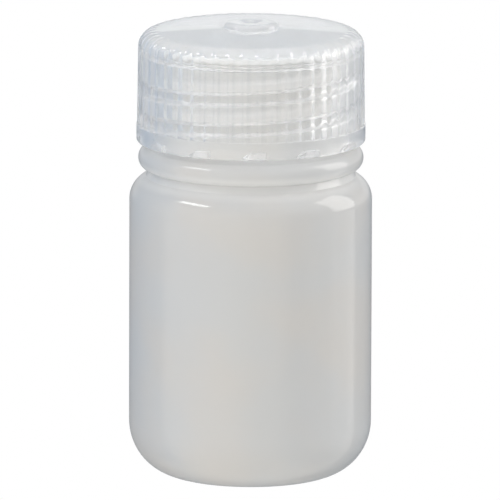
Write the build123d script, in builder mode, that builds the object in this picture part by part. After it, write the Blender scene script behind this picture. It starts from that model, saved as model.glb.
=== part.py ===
"""Small wide-mouth screw-cap bottle: bottle, sealing liner and ribbed closure.

Millimetres, +Z up, origin on the axis at the plane the bottle stands on, -Y to the front.
"""

import os
from math import cos, radians, sin

from build123d import *

# Bottle body
BODY_R = 17.0
WALL = 1.1
HEEL_R, HEEL_H = 7.0, 7.6  # rounded heel, across and up
STAND_R = 8.8  # inner edge of the flat ring it stands on
PUSH_UP = 0.9  # height of the hollow under the base
SHOULDER_Z = 39.15
SHOULDER_R, SHOULDER_H = 4.1, 3.7

# Groove and collar below the closure
GROOVE_R = 14.3
COLLAR_R = 15.77
COLLAR_Z = 45.03
COLLAR_HALF_H = 1.57
COLLAR_BORE_R = 13.0

# Neck and thread
NECK_R = 12.6
MOUTH_R = 10.5
NECK_FOOT_Z = 47.4
LIP_Z = 60.5
LIP_ROUND = 0.4
PITCH = 4.3
THREAD_CREST_R = 13.7
THREAD_LOW_Z, THREAD_HIGH_Z = 51.0, 58.5
FRONT_TURN_Z = 57.3  # height of the top turn's middle at the front
ROOT_HALF, CREST_HALF = 1.15, 0.5  # half widths of a thread ridge

# Closure
RIM_Z = 47.37
BAND_R = 16.03
BAND_TOP_Z = 49.87
RIB_FOOT_R, RIB_HEAD_R = 15.96, 15.82
TOP_EDGE_Z = 62.97
TOP_ROUND = 2.23
CROWN = 0.6  # rise of the top from its edge to its middle
CAVITY_R = 14.1
CAVITY_TOP_Z = 61.4
CAVITY_ROUND = 0.6
RIM_ROUND = 0.4
BOSS_FOOT_R, BOSS_TOP_R, BOSS_TOP_Z = 3.85, 3.45, 64.2
DIMPLE_R, DIMPLE_DEPTH = 1.3, 0.35
CAP_CREST_R = 12.95
CAP_THREAD_LOW_Z, CAP_THREAD_HIGH_Z = 49.5, 56.8
CAP_ROOT_HALF, CAP_CREST_HALF = 1.1, 0.45
FLANK_STEP = 1.48  # closure ridge below the bottle ridge, flanks 0.09 apart

# Grip flutes and the lock notches inside the rim
FLUTES = 48
FLUTE_R = 0.87
FLUTE_FLOOR_R = 15.4
FLUTE_BEND = 2.0
FLUTE_LIFT = 0.05  # how far above the top edge a flute's bend runs out
FLUTE_ANGLE = -89.2
NOTCHES = 12
NOTCH_DEPTH = 0.9
NOTCH_R = 15.45
NOTCH_END, NOTCH_FLAT, NOTCH_RAMP = -82.1, 8.2, 5.3  # degrees

# Liner, held in the closure by a small bead
LINER_R = 13.3
LINER_T = 0.8
LINER_GAP = 0.02
RETAINER_R = 13.1
RETAINER_Z = 60.4
RETAINER_H = 0.8


def dome(edge_r, edge_z, rise):
    """Shallow arc from a rim up to a small flat round the axis."""
    eye_r = 1.2
    half_r = (edge_r + eye_r) / 2
    ThreePointArc((edge_r, edge_z), (half_r, edge_z + 0.72 * rise), (eye_r, edge_z + rise))
    Line((eye_r, edge_z + rise), (0, edge_z + rise))


def bottle_outside():
    """Outer outline, from the middle of the base up to the lip."""
    heel = (BODY_R - HEEL_R, HEEL_H)
    shoulder = (BODY_R - SHOULDER_R, SHOULDER_Z)
    groove_turn = 70.0  # angle at which the shoulder meets the groove
    foot = (shoulder[0] + SHOULDER_R * cos(radians(groove_turn)),
            SHOULDER_Z + SHOULDER_H * sin(radians(groove_turn)))
    dome(STAND_R, 0, PUSH_UP)
    Line((STAND_R, 0), (heel[0], 0))
    EllipticalCenterArc(heel, HEEL_R, HEEL_H, 270, arc_size=90)
    Line((BODY_R, HEEL_H), (BODY_R, SHOULDER_Z))
    EllipticalCenterArc(shoulder, SHOULDER_R, SHOULDER_H, 0, arc_size=groove_turn)
    Line(foot, (GROOVE_R, COLLAR_Z - COLLAR_HALF_H))
    EllipticalCenterArc((GROOVE_R, COLLAR_Z), COLLAR_R - GROOVE_R, COLLAR_HALF_H, 270,
                        arc_size=180)
    Polyline((GROOVE_R, COLLAR_Z + COLLAR_HALF_H), (NECK_R, NECK_FOOT_Z),
             (NECK_R, LIP_Z - LIP_ROUND))
    RadiusArc((NECK_R, LIP_Z - LIP_ROUND), (NECK_R - LIP_ROUND, LIP_Z), -LIP_ROUND)
    Line((NECK_R - LIP_ROUND, LIP_Z), (MOUTH_R + LIP_ROUND, LIP_Z))
    RadiusArc((MOUTH_R + LIP_ROUND, LIP_Z), (MOUTH_R, LIP_Z - LIP_ROUND), -LIP_ROUND)


def bottle_inside():
    """Inner outline, from the mouth down to the middle of the floor."""
    inner_r = BODY_R - WALL
    bulge_r, bulge_h = 1.2, 1.05
    bulge_z = COLLAR_Z - 0.08
    shoulder_r, shoulder_h = inner_r - COLLAR_BORE_R, 2.9
    heel_r, heel_h = HEEL_R - WALL, HEEL_H - WALL
    floor_z = WALL + 0.1
    Polyline((MOUTH_R, LIP_Z - LIP_ROUND), (MOUTH_R, NECK_FOOT_Z + 0.6),
             (COLLAR_BORE_R, bulge_z + bulge_h))
    EllipticalCenterArc((COLLAR_BORE_R, bulge_z), bulge_r, bulge_h, 90, arc_size=-180)
    Line((COLLAR_BORE_R, bulge_z - bulge_h), (COLLAR_BORE_R, SHOULDER_Z + shoulder_h))
    EllipticalCenterArc((COLLAR_BORE_R, SHOULDER_Z), shoulder_r, shoulder_h, 90, arc_size=-90)
    Line((inner_r, SHOULDER_Z), (inner_r, floor_z + heel_h))
    EllipticalCenterArc((inner_r - heel_r, floor_z + heel_h), heel_r, heel_h, 0, arc_size=-90)
    Line((inner_r - heel_r, floor_z), (STAND_R, floor_z))
    dome(STAND_R, floor_z, PUSH_UP)
    Line((0, PUSH_UP + floor_z), (0, PUSH_UP))


def ridge(low_z, high_z, root_r, crest_r, root_half, crest_half, drop):
    """A helical thread ridge between two heights; drop lowers it from the bottle's helix."""
    start_angle = -90 + 360 * (low_z + drop - FRONT_TURN_Z) / PITCH
    with BuildPart() as thread:
        with BuildLine():
            path = Helix(PITCH, high_z - low_z, crest_r, center=(0, 0, low_z))
        with BuildSketch(Plane(origin=path @ 0, x_dir=(1, 0, 0), z_dir=path % 0)):
            with BuildLine():
                Polyline((0, -crest_half), (0, crest_half), (root_r - crest_r, root_half),
                         (root_r - crest_r, -root_half), close=True)
            make_face()
        sweep(path=path, is_frenet=True)
    return thread.part.rotate(Axis.Z, start_angle)


def make_bottle():
    bury = 0.15  # how far a ridge's root reaches into the wall
    slope = (ROOT_HALF - CREST_HALF) / (THREAD_CREST_R - NECK_R)
    with BuildPart() as bottle:
        with BuildSketch(Plane.XZ):
            with BuildLine():
                bottle_outside()
                bottle_inside()
            make_face()
        revolve(axis=Axis.Z)
        add(ridge(THREAD_LOW_Z, THREAD_HIGH_Z, NECK_R - bury, THREAD_CREST_R,
                  ROOT_HALF + bury * slope, CREST_HALF, 0))
    return bottle


def closure_outline():
    """Half section of the closure, flutes and threads left out."""
    edge_r = RIB_HEAD_R - TOP_ROUND
    corner_r, corner_z = CAVITY_R - CAVITY_ROUND, CAVITY_TOP_Z - CAVITY_ROUND
    Line((CAVITY_R, RIM_Z), (BAND_R - RIM_ROUND, RIM_Z))
    RadiusArc((BAND_R - RIM_ROUND, RIM_Z), (BAND_R, RIM_Z + RIM_ROUND), -RIM_ROUND)
    Polyline((BAND_R, RIM_Z + RIM_ROUND), (BAND_R, BAND_TOP_Z), (RIB_FOOT_R, BAND_TOP_Z),
             (RIB_HEAD_R, TOP_EDGE_Z - TOP_ROUND))
    RadiusArc((RIB_HEAD_R, TOP_EDGE_Z - TOP_ROUND), (edge_r, TOP_EDGE_Z), -TOP_ROUND)
    dome(edge_r, TOP_EDGE_Z, CROWN)
    Line((0, TOP_EDGE_Z + CROWN), (0, CAVITY_TOP_Z))
    Line((0, CAVITY_TOP_Z), (corner_r, CAVITY_TOP_Z))
    RadiusArc((corner_r, CAVITY_TOP_Z), (CAVITY_R, corner_z), CAVITY_ROUND)
    Line((CAVITY_R, corner_z), (CAVITY_R, RIM_Z))


def top_boss():
    """Raised gate boss in the middle of the top."""
    bevel = 0.35
    root_z = CAVITY_TOP_Z + 1  # inside the closure's top
    with BuildPart() as boss:
        with BuildSketch(Plane.XZ):
            with BuildLine():
                Polyline((0, root_z), (BOSS_FOOT_R, root_z),
                         (BOSS_FOOT_R, BOSS_TOP_Z - bevel), (BOSS_TOP_R, BOSS_TOP_Z),
                         (DIMPLE_R, BOSS_TOP_Z), (0, BOSS_TOP_Z - DIMPLE_DEPTH), close=True)
            make_face()
        revolve(axis=Axis.Z)
    return boss.part


def retainer():
    """Low bead that keeps the liner up against the top."""
    root_r = CAVITY_R + 0.1
    with BuildPart() as bead:
        with BuildSketch(Plane.XZ):
            with BuildLine():
                Polyline((root_r, RETAINER_Z - RETAINER_H), (root_r, RETAINER_Z),
                         (RETAINER_R, RETAINER_Z - RETAINER_H / 3),
                         (RETAINER_R, RETAINER_Z - 2 * RETAINER_H / 3), close=True)
            make_face()
        revolve(axis=Axis.Z)
    return bead.part


def flute():
    """One round-bottomed grip flute that runs out over the top edge."""
    centre_r = FLUTE_FLOOR_R + FLUTE_R
    bend = FLUTE_BEND + FLUTE_R
    bend_z = TOP_EDGE_Z - FLUTE_BEND + FLUTE_LIFT
    with BuildPart() as cutter:
        with BuildLine(Plane.XZ) as path:
            Line((centre_r, BAND_TOP_Z), (centre_r, bend_z))
            RadiusArc((centre_r, bend_z), (centre_r - bend, bend_z + bend), -bend)
        with BuildSketch(Plane((centre_r, 0, BAND_TOP_Z))):
            Circle(FLUTE_R)
        sweep(path=path.line)
    return cutter.part


def notch():
    """One lock notch cut into the inside of the rim: a ramp, a flat and a square end."""
    steep, shallow = NOTCH_END, NOTCH_END - NOTCH_FLAT
    start = shallow - NOTCH_RAMP
    reach = 0.4  # cutter below the rim and inside the wall

    def at(angle, radius):
        return (radius * cos(radians(angle)), radius * sin(radians(angle)))

    def fan(first, last, low_z, high_first, high_last):
        """Wedge between two angles whose roof runs from one height to another."""
        inner = CAVITY_R - reach
        outer = NOTCH_R
        faces = []
        for angle, high in ((first, high_first), (last, high_last)):
            (xi, yi), (xo, yo) = at(angle, inner), at(angle, outer)
            faces.append(Face(Wire.make_polygon(
                [(xi, yi, low_z), (xo, yo, low_z), (xo, yo, high), (xi, yi, high)])))
        return Solid.make_loft([f.outer_wire() for f in faces], ruled=True)

    low = RIM_Z - reach
    roof = RIM_Z + NOTCH_DEPTH
    middle = (steep + shallow) / 2
    return [fan(start, shallow, low, RIM_Z, roof),
            fan(shallow, middle, low, roof, roof),
            fan(middle, steep, low, roof, roof)]


def make_closure():
    bury = 0.15
    slope = (CAP_ROOT_HALF - CAP_CREST_HALF) / (CAVITY_R - CAP_CREST_R)
    cutter = flute()
    with BuildPart() as closure:
        with BuildSketch(Plane.XZ):
            with BuildLine():
                closure_outline()
            make_face()
        revolve(axis=Axis.Z)
        add(top_boss())
        add(retainer())
        with PolarLocations(0, FLUTES, start_angle=FLUTE_ANGLE):
            add(cutter, mode=Mode.SUBTRACT)
        for wedge in notch():
            with PolarLocations(0, NOTCHES):
                add(wedge, mode=Mode.SUBTRACT)
        add(ridge(CAP_THREAD_LOW_Z, CAP_THREAD_HIGH_Z, CAVITY_R + bury, CAP_CREST_R,
                  CAP_ROOT_HALF + bury * slope, CAP_CREST_HALF, FLANK_STEP))
    return closure


def make_liner():
    """Soft disc between the lip and the closure's top."""
    with BuildPart() as liner:
        with Locations((0, 0, LIP_Z + LINER_GAP)):
            Cylinder(LINER_R, LINER_T, align=(Align.CENTER, Align.CENTER, Align.MIN))
        fillet(liner.edges().filter_by(GeomType.CIRCLE), 0.15)
    return liner


os.makedirs("parts", exist_ok=True)
bottle = make_bottle()
bottle.part.label = "bottle"
export_step(bottle.part, "parts/bottle.step")
closure = make_closure()
closure.part.label = "closure"
export_step(closure.part, "parts/closure.step")
liner = make_liner()
liner.part.label = "liner"
export_step(liner.part, "parts/liner.step")
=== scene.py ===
"""Looks for the small wide-mouth bottle: bottle, liner and ribbed closure, in metres."""
import math

import bpy
import numpy as np
from mathutils import Matrix, Vector


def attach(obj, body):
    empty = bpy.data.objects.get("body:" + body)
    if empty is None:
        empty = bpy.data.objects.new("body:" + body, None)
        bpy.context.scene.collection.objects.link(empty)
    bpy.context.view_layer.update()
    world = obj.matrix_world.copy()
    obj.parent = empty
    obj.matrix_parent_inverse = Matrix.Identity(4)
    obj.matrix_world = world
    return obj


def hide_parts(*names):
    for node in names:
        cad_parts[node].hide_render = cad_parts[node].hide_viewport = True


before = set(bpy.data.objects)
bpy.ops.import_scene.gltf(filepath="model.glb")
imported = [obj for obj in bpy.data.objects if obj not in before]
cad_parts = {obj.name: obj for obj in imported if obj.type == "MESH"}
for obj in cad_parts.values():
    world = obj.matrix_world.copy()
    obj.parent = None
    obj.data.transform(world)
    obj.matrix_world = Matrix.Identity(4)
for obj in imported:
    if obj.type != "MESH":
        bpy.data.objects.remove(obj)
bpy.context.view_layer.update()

# Camera: long lens at the photograph's viewing angle, lengths in metres, lens in millimetres
CAMERA_ELEVATION = math.radians(11.15)
CAMERA_DISTANCE = 2.0
CAMERA_LENS = 1027.3
CAMERA_ROLL = math.radians(0.19)
CAMERA_AIM = Vector((-0.00008, 0.0, 0.0317))
SENSOR_WIDTH = 36.0
CLIP_START, CLIP_END = 0.1, 50.0

# Lamps stand this far from the middle of the object and look at it
LIGHT_DISTANCE = 0.7
LIGHT_AIM = Vector((0, 0, 0.035))

FLOOR_SIZE, FLOOR_DROP = 3.0, 0.0002


def polar(azimuth, elevation, distance):
    """Point at a distance from the object: azimuth 0 is the camera's side, 90 its right."""
    a, e = math.radians(azimuth), math.radians(elevation)
    return Vector((math.sin(a) * math.cos(e), -math.cos(a) * math.cos(e), math.sin(e))) * distance


def make_camera():
    """Long lens looking slightly down on the front of the object."""
    data = bpy.data.cameras.new("camera")
    data.lens = CAMERA_LENS
    data.sensor_width = SENSOR_WIDTH
    data.clip_start, data.clip_end = CLIP_START, CLIP_END
    camera = bpy.data.objects.new("camera", data)
    bpy.context.scene.collection.objects.link(camera)
    back = Vector((0, -math.cos(CAMERA_ELEVATION), math.sin(CAMERA_ELEVATION)))
    camera.location = CAMERA_AIM + back * CAMERA_DISTANCE
    look = (-back).to_track_quat("-Z", "Y").to_matrix().to_4x4()
    turn = Matrix.Rotation(CAMERA_ROLL, 4, "Z")
    camera.matrix_world = Matrix.Translation(camera.location) @ look @ turn
    bpy.context.scene.camera = camera


def area_light(name, azimuth, elevation, width, height, radiance, colour):
    """Softbox aimed at the middle of the object; radiance is what its face shows."""
    data = bpy.data.lights.new(name, "AREA")
    data.shape = "RECTANGLE"
    data.size, data.size_y = width, height
    data.energy = radiance * math.pi * width * height
    data.color = colour
    light = bpy.data.objects.new(name, data)
    light.location = LIGHT_AIM + polar(azimuth, elevation, LIGHT_DISTANCE)
    light.rotation_euler = (LIGHT_AIM - light.location).to_track_quat("-Z", "Y").to_euler()
    light.visible_camera = False
    bpy.context.scene.collection.objects.link(light)


class Nodes:
    """Short way to add and join shader nodes."""

    def __init__(self, tree):
        self.tree = tree
        tree.nodes.clear()

    def add(self, kind, inputs=None, **settings):
        node = self.tree.nodes.new(kind)
        for key, value in settings.items():
            setattr(node, key, value)
        for key, value in (inputs or {}).items():
            self.set(node, key, value)
        return node

    def set(self, node, key, value):
        if isinstance(value, bpy.types.NodeSocket):
            self.tree.links.new(value, node.inputs[key])
        else:
            node.inputs[key].default_value = value

    def math(self, operation, *values):
        """Result of a Math node on numbers or sockets."""
        return self.add("ShaderNodeMath", dict(enumerate(values)), operation=operation).outputs[0]

    def ramp(self, value, low, high, out_low=0.0, out_high=1.0):
        """Soft step from one value to another between two limits, which may fall or rise."""
        return self.add("ShaderNodeMapRange", {0: value, 1: low, 2: high, 3: out_low, 4: out_high},
                        interpolation_type="SMOOTHSTEP").outputs[0]

    def mix(self, factor, a, b):
        """Colour between a (factor 0) and b (factor 1)."""
        node = self.add("ShaderNodeMix", data_type="RGBA")
        self.set(node, 0, factor)
        self.set(node, 6, a)
        self.set(node, 7, b)
        return node.outputs[2]


def make_world():
    """White to the camera. The object sees a studio that differs by direction: x is to the
    right, y away from the camera and z up."""
    world = bpy.data.worlds.new("studio")
    bpy.context.scene.world = world
    world.use_nodes = True
    n = Nodes(world.node_tree)
    way = n.add("ShaderNodeSeparateXYZ", {0: n.add("ShaderNodeTexCoord").outputs["Generated"]})
    x, y, z = way.outputs
    front = (1.125, 1.10, 1.035, 1)
    above = (0.88, 0.90, 0.92, 1)
    left = (0.96, 0.98, 1.02, 1)
    right = (0.33, 0.37, 0.43, 1)
    colour = n.mix(n.ramp(x, -0.35, -0.80), front, left)
    colour = n.mix(n.ramp(x, 0.35, 0.75), colour, right)
    colour = n.mix(n.ramp(z, 0.1, 0.6), colour, above)
    left_rear = n.math("MULTIPLY", n.ramp(x, -0.45, -0.75), n.ramp(y, -0.15, 0.15))
    # behind: a lit backdrop with grey over it, dark flags below the horizon, blue at the left
    flags = n.mix(n.ramp(x, 0.15, 0.30), (0.36, 0.39, 0.43, 1), (0.07, 0.12, 0.19, 1))
    dusk = (0.12, 0.24, 0.40, 1)
    backdrop = (0.78, 0.79, 0.81, 1)
    high = (0.45, 0.49, 0.53, 1)
    rear = n.mix(n.ramp(z, 0.185, 0.205), backdrop, high)
    rear = n.mix(n.ramp(z, 0.45, 0.75), rear, above)
    colour = n.mix(n.ramp(y, 0.10, 0.40), colour, rear)
    at_flags = n.math("MULTIPLY", n.ramp(y, 0.38, 0.52), n.ramp(z, 0.0, -0.06))
    colour = n.mix(at_flags, colour, flags)
    colour = n.mix(left_rear, colour, dusk)
    lit = n.add("ShaderNodeBackground", {0: colour, 1: 1.0})
    seen = n.add("ShaderNodeBackground", {0: (1, 1, 1, 1), 1: 1.0})
    is_camera = n.add("ShaderNodeLightPath").outputs["Is Camera Ray"]
    shown = n.add("ShaderNodeMixShader", {0: is_camera, 1: lit.outputs[0], 2: seen.outputs[0]})
    n.add("ShaderNodeOutputWorld", {0: shown.outputs[0]})


def make_floor():
    """White floor that only the camera sees, a little under the base."""
    mesh = bpy.data.meshes.new("floor")
    corners = [(-1, -1), (1, -1), (1, 1), (-1, 1)]
    mesh.from_pydata([(x * FLOOR_SIZE, y * FLOOR_SIZE, 0) for x, y in corners], [], [(0, 1, 2, 3)])
    floor = bpy.data.objects.new("floor", mesh)
    bpy.context.scene.collection.objects.link(floor)
    material, n = new_material("pale_floor")
    glow = n.add("ShaderNodeEmission", {0: (1, 1, 1, 1), 1: 1.0})
    n.add("ShaderNodeOutputMaterial", {0: glow.outputs[0]})
    mesh.materials.append(material)
    for ray in ("visible_diffuse", "visible_glossy", "visible_transmission", "visible_shadow"):
        setattr(floor, ray, False)
    floor.location.z = -FLOOR_DROP


MM = 0.001

# The same sizes as the CAD parts, in millimetres
BODY_R, STAND_R, PUSH_UP = 17.0, 8.8, 0.9
HEEL_R, HEEL_H = 7.0, 7.6
SHOULDER_Z, SHOULDER_R, SHOULDER_H = 39.15, 4.1, 3.7
GROOVE_R, COLLAR_R, COLLAR_Z, COLLAR_HALF_H = 14.3, 15.77, 45.03, 1.57
# The groove's floor slants down to this point, up to 0.3 mm fuller than the CAD part's
GROOVE_FOOT_R, GROOVE_FOOT_Z = 14.68, 42.42
NECK_R, MOUTH_R, NECK_FOOT_Z, LIP_Z = 12.6, 10.5, 47.4, 60.5
INNER_R, COLLAR_BORE_R, FLOOR_Z = 15.9, 13.0, 1.2
INNER_HEEL_R, INNER_HEEL_H, INNER_SHOULDER_R = 5.9, 6.5, 2.9
HOLLOW_R, HOLLOW_HALF_H, HOLLOW_DROP = 1.2, 1.05, 0.08
PITCH, FRONT_TURN_Z = 4.3, 57.3
RIM_Z, BAND_R, BAND_TOP_Z = 47.37, 16.03, 49.87
RIB_FOOT_R, RIB_HEAD_R = 15.96, 15.82
TOP_EDGE_Z, TOP_ROUND, CROWN = 62.97, 2.23, 0.6
CAVITY_R, CAVITY_TOP_Z = 14.1, 61.4
BOSS_FOOT_R, BOSS_TOP_R, BOSS_TOP_Z = 3.85, 3.45, 64.2
DIMPLE_R, DIMPLE_DEPTH = 1.3, 0.35
FLUTES, FLUTE_R, FLUTE_FLOOR_R, FLUTE_BEND, FLUTE_ANGLE = 48, 0.87, 15.4, 2.0, -89.2
NOTCHES, NOTCH_DEPTH, NOTCH_R, NOTCH_FADE = 12, 0.9, 15.45, 1.2
NOTCH_END, NOTCH_FLAT, NOTCH_RAMP = -82.1, 8.2, 5.3
RETAINER_R, RETAINER_Z, RETAINER_H = 13.1, 60.4, 0.8
LINER_R, LINER_T, LINER_GAP = 13.3, 0.8, 0.02
# Radius of the ring next to a pole, and how far the flutes' rims are softened
POLE_R, FLUTE_SOFTNESS = 0.8, 0.12
# Ridges: root radius, how far they stand out, half widths at crest and root, first and last
# height, and how far below the bottle's thread they run
BOTTLE_RIDGE = (NECK_R, 1.1, 0.50, 1.15, 51.0, 58.5, 0.0)
CLOSURE_RIDGE = (CAVITY_R, -1.15, 0.45, 1.10, 49.5, 56.8, 1.48)

# Colours of the bottle's plastic: the wall, painted light that lifts the groove's shade, and painted
# light on the thread's ridges with painted shade in the gaps between them
MILKY_WARM, MILKY_COOL = (0.845, 0.825, 0.800, 1), (0.822, 0.823, 0.820, 1)
# painted light: lightens the groove against the shade that falls in it
GROOVE_PAINTED_LIGHT = (0.97, 0.965, 0.955, 1)
# painted light for the thread's ridges and painted shade for the gaps between them
RIDGE_PAINTED_LIGHT, GAP_PAINTED_SHADE = (0.875, 0.87, 0.86, 1), (0.74, 0.74, 0.73, 1)
# Colours of the closure's plastic and of the liner
CLEAR_WARM, CLEAR_COOL = (0.995, 0.985, 0.970, 1), (0.98, 0.98, 0.98, 1)
FOAM_LIGHT, FOAM_DARK = (0.91, 0.91, 0.90, 1), (0.86, 0.865, 0.87, 1)


def smooth(value):
    """Smoothstep of an array clipped to 0..1."""
    t = np.clip(value, 0.0, 1.0)
    return t * t * (3.0 - 2.0 * t)


def arc(centre, across, up, first, last, count):
    """Points of an elliptical arc in the half section, angles in degrees."""
    return [(centre[0] + across * math.cos(math.radians(a)),
             centre[1] + up * math.sin(math.radians(a)), 0.0)
            for a in np.linspace(first, last, count)]


def dome(edge_r, edge_z, rise, first, last, count):
    """Points of a shallow dome between two radii."""
    return [(r, edge_z + rise * (1.0 - (r / edge_r) ** 2), 0.0)
            for r in np.linspace(first, last, count)]


def outline(corners, step):
    """Points along a polyline of (radius, height, rounding) corners, no farther apart than
    step on its straight runs."""
    points = []
    corners = [(np.array(c[:2], float), c[2]) for c in corners]
    for i, (c, rounding) in enumerate(corners):
        if rounding <= 0.0 or i in (0, len(corners) - 1):
            points.append(c)
            continue
        u, v = corners[i - 1][0] - c, corners[i + 1][0] - c
        u, v = u / np.linalg.norm(u), v / np.linalg.norm(v)
        half = math.acos(float(np.clip(u @ v, -1, 1))) / 2
        middle = c + (u + v) / np.linalg.norm(u + v) * rounding / math.sin(half)
        a, b = c + u * rounding / math.tan(half) - middle, c + v * rounding / math.tan(half) - middle
        turn = math.pi - 2 * half
        count = max(2, math.ceil(math.degrees(turn) / 18))
        for k in range(count + 1):
            t = k / count
            points.append(middle + (math.sin((1 - t) * turn) * a + math.sin(t * turn) * b)
                          / math.sin(turn))
    dense = [points[0]]
    for p, q in zip(points, points[1:]):
        runs = max(1, math.ceil(np.linalg.norm(q - p) / step))
        dense += [p + (q - p) * k / runs for k in range(1, runs + 1)]
    return np.array(dense)


def ridge_height(z, angles, ridge):
    """How far a screw ridge stands out at each height and angle (arrays that broadcast)."""
    _, height, crest, root, low, high, drop = ridge
    start = FRONT_TURN_Z - drop + PITCH * (angles + 90.0) / 360.0
    middle = start + PITCH * np.round((z - start) / PITCH)
    off = np.abs(z - middle)
    fade = PITCH * 25.0 / 360.0
    ends = smooth((middle - low) / fade + 0.5) * smooth((high - middle) / fade + 0.5)
    return height * ends * smooth((root - off) / (root - crest))


def make_mesh(name, rows, body):
    """Closed mesh from rings of points, first ring on top; a ring of one point is a pole, and
    a ring may have half or twice as many points as the ring before it."""
    verts, faces, starts = [], [], []
    for ring in rows:
        starts.append(len(verts))
        verts.extend((ring * MM).tolist())
    for (a, ring_a), (b, ring_b) in zip(zip(starts, rows), zip(starts[1:], rows[1:])):
        n, m = len(ring_a), len(ring_b)
        for i in range(n if n == m else max(n, m) if min(n, m) == 1 else min(n, m)):
            j = (i + 1) % max(n, m)
            k, l, e = 2 * i, 2 * i + 1, (2 * i + 2) % max(n, m)
            if n == 1:
                faces.append((a, b + i, b + j))
            elif m == 1:
                faces.append((a + i, b, a + j))
            elif n == m:
                faces.append((a + i, b + i, b + j, a + j))
            elif n > m:
                faces.append((a + k, b + i, b + (i + 1) % m, a + e, a + l))
            else:
                faces.append((a + i, b + k, b + l, b + e, a + (i + 1) % n))
    mesh = bpy.data.meshes.new(name)
    mesh.from_pydata(verts, [], faces)
    mesh.shade_smooth()
    piece = bpy.data.objects.new(name, mesh)
    bpy.context.scene.collection.objects.link(piece)
    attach(piece, body)
    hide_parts(body)
    return piece


def rings(radius, height, angles):
    """Rings of points from arrays of radii and heights, one row each, by angle in degrees."""
    turn = np.radians(angles)
    return [np.stack([r * np.cos(turn), r * np.sin(turn), z], axis=1)
            for r, z in zip(radius, height)]


def spread(profile, angles):
    """Radii and heights of a lathe profile repeated for every angle."""
    shape = (len(profile), len(angles))
    return (np.broadcast_to(profile[:, :1], shape).copy(),
            np.broadcast_to(profile[:, 1:], shape).copy())


def pole(height):
    """Ring of one point on the axis."""
    return np.array([[0.0, 0.0, height]])


def bottle_rows():
    """Rings of the bottle, from the middle of the floor inside to the middle of the base."""
    angles = np.linspace(0, 360, 288, endpoint=False)
    shoulder = (BODY_R - SHOULDER_R, SHOULDER_Z)
    base = dome(STAND_R, 0, PUSH_UP, POLE_R, STAND_R - 0.6, 7) + [(STAND_R, 0, 0.35)]
    heel = arc((BODY_R - HEEL_R, HEEL_H), HEEL_R, HEEL_H, 270, 360, 22)
    body = outline(base + heel + arc(shoulder, SHOULDER_R, SHOULDER_H, 0, 58, 14)
                   + [(GROOVE_FOOT_R, GROOVE_FOOT_Z, 0.2), (GROOVE_R + 0.02, 43.4, 0.3)]
                   + arc((GROOVE_R, COLLAR_Z), COLLAR_R - GROOVE_R, COLLAR_HALF_H, 270, 450, 26)
                   + [(NECK_R, NECK_FOOT_Z, 0.35), (NECK_R, NECK_FOOT_Z + 0.8, 0)], 5.0)
    neck = outline([(NECK_R, NECK_FOOT_Z + 0.95, 0), (NECK_R, LIP_Z - 0.8, 0)], 0.15)
    lip = outline([(NECK_R, LIP_Z - 0.7, 0), (NECK_R, LIP_Z, 0.4), (MOUTH_R, LIP_Z, 0.4),
                   (MOUTH_R, NECK_FOOT_Z + 0.6, 0.8), (COLLAR_BORE_R, COLLAR_Z + 0.97, 0)], 4.0)
    hollow = arc((COLLAR_BORE_R, COLLAR_Z - HOLLOW_DROP), HOLLOW_R, HOLLOW_HALF_H, 85, -90, 12)
    inner_shoulder = arc((COLLAR_BORE_R, SHOULDER_Z), INNER_SHOULDER_R, INNER_SHOULDER_R, 90, 0, 12)
    inner_heel = arc((INNER_R - INNER_HEEL_R, FLOOR_Z + INNER_HEEL_H),
                     INNER_HEEL_R, INNER_HEEL_H, 0, -90, 16)
    floor = dome(STAND_R, FLOOR_Z, PUSH_UP, STAND_R, POLE_R, 7)
    inside = outline(hollow + inner_shoulder + inner_heel + floor, 5.0)
    rows = [pole(PUSH_UP)]
    for profile in (body, neck, lip, inside):
        radius, height = spread(profile, angles)
        if profile is neck:
            radius += ridge_height(height, angles[None, :], BOTTLE_RIDGE)
        rows += rings(radius, height, angles)
    return (rows + [pole(FLOOR_Z + PUSH_UP)])[::-1]


def flute_depth(radius, height, normal, angles):
    """How deep the grip flutes cut below each point of the closure's outside."""
    period = 360.0 / FLUTES
    off = np.radians((angles - FLUTE_ANGLE + period / 2) % period - period / 2)
    centre_r = FLUTE_FLOOR_R + FLUTE_R
    bend = FLUTE_BEND + FLUTE_R
    bend_r, bend_z = centre_r - bend, TOP_EDGE_Z - FLUTE_BEND + 0.05

    def distance(depth):
        """From the flute cutter's surface to the point moved inwards by depth."""
        r = radius - depth * normal[:, :1]
        z = height - depth * normal[:, 1:]
        u, w = r * np.cos(off), r * np.sin(off)
        ring = np.hypot(u - bend_r, z - bend_z) - bend
        flat = np.where(z < bend_z, u - centre_r, np.where(u < bend_r, 9.0, ring))
        return np.hypot(flat, w) - FLUTE_R

    # halve the range until it closes on the depth where the point meets the cutter
    least, most, halvings = -0.6, 1.2, 22
    low, high = np.full(radius.shape, least), np.full(radius.shape, most)
    for _ in range(halvings):
        middle = (low + high) / 2
        inside = distance(middle) < 0
        low, high = np.where(inside, middle, low), np.where(inside, high, middle)
    soft = FLUTE_SOFTNESS * FLUTE_SOFTNESS
    depth = (low + np.sqrt(low * low + soft)) / 2 - soft / 2
    return np.where(low < least + 0.05, 0.0, depth)


def notch_height(angles):
    """Height of the lock notches above the rim: a ramp, a flat and a steep end."""
    period = 360.0 / NOTCHES
    back = (NOTCH_END - angles) % period
    ramp = (NOTCH_FLAT + NOTCH_RAMP - back) / NOTCH_RAMP
    return NOTCH_DEPTH * np.clip(ramp, 0.03, 1.0)


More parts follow.
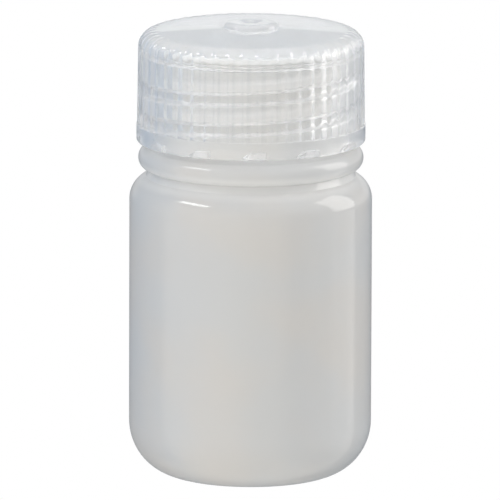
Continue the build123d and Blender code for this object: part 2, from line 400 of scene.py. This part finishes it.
def closure_rows():
    """Rings of the closure, from the boss over the outside to the middle of the cavity's top."""
    # angles closer together towards the ribs, and two at the steep end of each notch
    per_half = 8
    half = 180.0 / FLUTES * (np.arange(1, per_half + 1) / per_half) ** 0.6
    one = np.concatenate([-half[:-1][::-1], [0.0], half])
    angles = (FLUTE_ANGLE + np.arange(FLUTES)[:, None] * 360.0 / FLUTES + one).ravel()
    steep = NOTCH_END + np.arange(NOTCHES)[:, None] * 360.0 / NOTCHES + [-0.04, 0.04]
    angles = np.sort(np.concatenate([angles, steep.ravel()]) % 360.0)
    # an even number, because the plain rows use every second angle
    if len(angles) % 2:
        angles = np.append(angles, (angles[-1] + 360.0 + angles[0]) / 2)
    edge_r = RIB_HEAD_R - TOP_ROUND
    boss = outline([(0.35, BOSS_TOP_Z - DIMPLE_DEPTH + 0.03, 0), (DIMPLE_R, BOSS_TOP_Z, 0.25),
                    (BOSS_TOP_R, BOSS_TOP_Z, 0.25), (BOSS_FOOT_R, BOSS_TOP_Z - 0.35, 0.25),
                    (BOSS_FOOT_R, TOP_EDGE_Z + 0.545, 0.2), (4.6, TOP_EDGE_Z + 0.535, 0)], 1.2)
    top = outline(dome(edge_r, TOP_EDGE_Z, CROWN, 5.5, edge_r - 1.4, 6)
                  + dome(edge_r, TOP_EDGE_Z, CROWN, edge_r - 1.0, edge_r, 5)
                  + arc((edge_r, TOP_EDGE_Z - TOP_ROUND), TOP_ROUND, TOP_ROUND, 86, 0, 24)
                  + [(RIB_FOOT_R, BAND_TOP_Z + 0.02, 0)], 2.2)
    band = outline([(RIB_FOOT_R, BAND_TOP_Z, 0), (BAND_R, BAND_TOP_Z, 0.06),
                    (BAND_R, RIM_Z, 0.4), (NOTCH_R, RIM_Z, 0.0)], 1.5)
    rows = [pole(BOSS_TOP_Z - DIMPLE_DEPTH)]
    coarse = angles[::2]
    rows += rings(*spread(boss, coarse), coarse)
    # the flutes are pressed in square to the profile
    radius, height = spread(top, angles)
    along = np.gradient(top, axis=0)
    along /= np.linalg.norm(along, axis=1)[:, None]
    normal = np.stack([-along[:, 1], along[:, 0]], axis=1)
    depth = flute_depth(radius, height, normal, angles[None, :])
    rows += rings(radius - depth * normal[:, :1], height - depth * normal[:, 1:], angles)
    radius, height = spread(band, angles)
    radius[0] = radius[0] - depth[-1]
    rows += rings(radius, height, angles)
    notch = notch_height(angles)
    # the notches' roofs fade out up the cavity wall
    inner = outline([(NOTCH_R, 0, 0), (CAVITY_R, 0, 0.25), (CAVITY_R, NOTCH_FADE, 0)], 1.4)
    for r, z in inner:
        share = 1.0 - z / NOTCH_FADE
        rows += rings([np.full(len(angles), r)], [RIM_Z + z + notch * share], angles)
    wall = outline([(CAVITY_R, RIM_Z + NOTCH_FADE + 0.15, 0),
                    (CAVITY_R, RETAINER_Z - RETAINER_H - 0.1, 0)], 0.18)
    radius, height = spread(wall, coarse)
    radius += ridge_height(height, coarse[None, :], CLOSURE_RIDGE)
    rows += rings(radius, height, coarse)
    roof = outline([(CAVITY_R, RETAINER_Z - RETAINER_H, 0),
                    (RETAINER_R, RETAINER_Z - 2 * RETAINER_H / 3, 0.12),
                    (RETAINER_R, RETAINER_Z - RETAINER_H / 3, 0.12), (CAVITY_R, RETAINER_Z, 0.1),
                    (CAVITY_R, CAVITY_TOP_Z, 0.5), (POLE_R, CAVITY_TOP_Z, 0)], 2.5)
    rows += rings(*spread(roof, coarse), coarse)
    return rows + [pole(CAVITY_TOP_Z)]


def liner_rows():
    """Rings of the liner disc."""
    angles = np.linspace(0, 360, 192, endpoint=False)
    low, high = LIP_Z + LINER_GAP, LIP_Z + LINER_GAP + LINER_T
    profile = outline([(POLE_R, low, 0), (LINER_R, low, 0.15), (LINER_R, high, 0.15),
                       (POLE_R, high, 0)], 1.0)
    return ([pole(low)] + rings(*spread(profile, angles), angles) + [pole(high)])[::-1]


def new_material(name):
    """Empty material and the helper that adds its nodes."""
    material = bpy.data.materials.new(name)
    material.use_nodes = True
    return material, Nodes(material.node_tree)


def grain(n, lumps, detail=2.0):
    """Noise fixed to the piece, with that many lumps to a metre."""
    place = n.add("ShaderNodeTexCoord").outputs["Object"]
    return n.add("ShaderNodeTexNoise",
                 {"Vector": place, "Scale": lumps, "Detail": detail}).outputs[0]


def clouds(n, lumps, a, b):
    """Soft patches of two close tones."""
    return n.mix(n.ramp(grain(n, lumps), 0.35, 0.65), a, b)


def polish(n, lumps, smoothest, roughest):
    """Roughness that wanders between two values."""
    return n.ramp(grain(n, lumps, 4.0), 0.35, 0.7, smoothest, roughest)


def dents(n, height, depth):
    """Normal of a skin that is uneven by about a depth in metres."""
    return n.add("ShaderNodeBump", {"Strength": 1.0, "Distance": depth,
                                    "Height": height}).outputs[0]


def radius_and_height(n):
    """Distance from the piece's own axis, and height, in metres."""
    place = n.add("ShaderNodeTexCoord").outputs["Object"]
    flat = n.add("ShaderNodeVectorMath", {0: place, 1: (1, 1, 0)}, operation="MULTIPLY")
    radius = n.add("ShaderNodeVectorMath", {0: flat.outputs[0]}, operation="LENGTH").outputs[1]
    return radius, n.add("ShaderNodeSeparateXYZ", {0: place}).outputs[2]


def scattering(n, face, tone, normal, through):
    """Gives a share of the surface to light that comes scattered through the plastic."""
    haze = n.add("ShaderNodeBsdfTranslucent", {"Color": tone, "Normal": normal})
    return n.add("ShaderNodeMixShader", {0: through, 1: face.outputs[0], 2: haze.outputs[0]})


def milky_plastic():
    """The bottle: milky, faintly clouded, with painted light in the groove, painted light on the
    thread's ridges and painted shade in the gaps between them.
    """
    material, n = new_material("milky_plastic")
    tone = clouds(n, 70.0, MILKY_WARM, MILKY_COOL)
    radius, height = radius_and_height(n)
    neck = n.ramp(height, (NECK_FOOT_Z + 0.6) * MM, (NECK_FOOT_Z + 1.2) * MM)
    between = n.ramp(radius, (NECK_R + 0.55) * MM, (NECK_R + 0.15) * MM)
    # painted light: the groove and the collar's underside are lightened against the shade that falls
    # there
    groove = n.math("MULTIPLY", n.ramp(height, (GROOVE_FOOT_Z - 1.2) * MM, GROOVE_FOOT_Z * MM),
                    n.ramp(height, COLLAR_Z * MM, (COLLAR_Z - 1.0) * MM))
    tone = n.mix(groove, tone, GROOVE_PAINTED_LIGHT)
    # painted light on the neck's thread ridges and painted shade in the gaps between them
    tone = n.mix(neck, tone, n.mix(between, RIDGE_PAINTED_LIGHT, GAP_PAINTED_SHADE))
    normal = dents(n, grain(n, 900.0), 0.000006)
    face = n.add("ShaderNodeBsdfPrincipled", {
        "Base Color": tone, "Roughness": polish(n, 260.0, 0.035, 0.085),
        "IOR": 1.5, "Specular IOR Level": 0.85, "Normal": normal})
    both = scattering(n, face, tone, normal, 0.42)
    n.add("ShaderNodeOutputMaterial", {0: both.outputs[0]})
    return material


def clear_plastic():
    """The closure: clear with a haze in it, glossy outside and satin in the cavity. Most of
    the light for shadows and for matt surfaces passes it straight."""
    material, n = new_material("natural_plastic")
    tone = clouds(n, 110.0, CLEAR_WARM, CLEAR_COOL)
    normal = dents(n, grain(n, 1100.0), 0.000004)
    radius, height = radius_and_height(n)
    cavity = n.math("MULTIPLY", n.ramp(radius, (CAVITY_R + 0.35) * MM, (CAVITY_R + 0.1) * MM),
                    n.ramp(height, (CAVITY_TOP_Z + 0.6) * MM, (CAVITY_TOP_Z + 0.2) * MM))
    satin = n.math("MULTIPLY", cavity, 0.25)
    face = n.add("ShaderNodeBsdfPrincipled", {
        "Base Color": tone, "Roughness": n.math("MAXIMUM", polish(n, 320.0, 0.015, 0.05), satin),
        "IOR": 1.49, "Transmission Weight": 0.82, "Specular IOR Level": 0.8,
        "Normal": normal})
    skirt = n.ramp(radius, (CAVITY_R - 0.6) * MM, (FLUTE_FLOOR_R - 0.1) * MM, 0.04, 0.06)
    both = scattering(n, face, tone, normal, skirt)
    path = n.add("ShaderNodeLightPath").outputs
    lighting = n.math("MAXIMUM", path["Is Shadow Ray"], path["Is Diffuse Ray"])
    gap = n.add("ShaderNodeBsdfTransparent", {0: (1, 1, 1, 1)})
    both = n.add("ShaderNodeMixShader", {0: n.math("MULTIPLY", lighting, 0.92),
                                         1: both.outputs[0], 2: gap.outputs[0]})
    n.add("ShaderNodeOutputMaterial", {0: both.outputs[0]})
    return material


def matt_foam():
    """The liner: closed-cell foam."""
    material, n = new_material("foam")
    place = n.add("ShaderNodeTexCoord").outputs["Object"]
    cells = n.add("ShaderNodeTexVoronoi", {"Vector": place, "Scale": 2600.0}).outputs[0]
    tone = clouds(n, 200.0, FOAM_LIGHT, FOAM_DARK)
    normal = dents(n, cells, 0.00005)
    face = n.add("ShaderNodeBsdfPrincipled", {
        "Base Color": tone, "Roughness": n.ramp(cells, 0.1, 0.7, 0.65, 0.85), "Normal": normal})
    both = scattering(n, face, tone, normal, 0.2)
    n.add("ShaderNodeOutputMaterial", {0: both.outputs[0]})
    return material


bpy.context.scene.view_settings.view_transform = "Standard"
cycles = bpy.context.scene.cycles
cycles.max_bounces = 32
cycles.diffuse_bounces = 12
cycles.glossy_bounces = 8
cycles.transmission_bounces = 24
make_camera()
make_world()
make_floor()
area_light("right_softbox", 100, 23, 0.42, 0.60, 3.0, (1.0, 0.97, 0.93))
area_light("right_spill", 100, -20, 0.42, 0.30, 0.35, (1.0, 0.98, 0.95))
area_light("left_strip", -69, 44, 0.36, 0.09, 9.0, (0.97, 0.98, 1.0))

for name, rows, body, material in (
        ("bottle_shell", bottle_rows(), "bottle", milky_plastic()),
        ("closure_shell", closure_rows(), "closure", clear_plastic()),
        ("liner_disc", liner_rows(), "liner", matt_foam())):
    piece = make_mesh(name, rows, body)
    piece.data.materials.append(material)

bpy.context.view_layer.update()
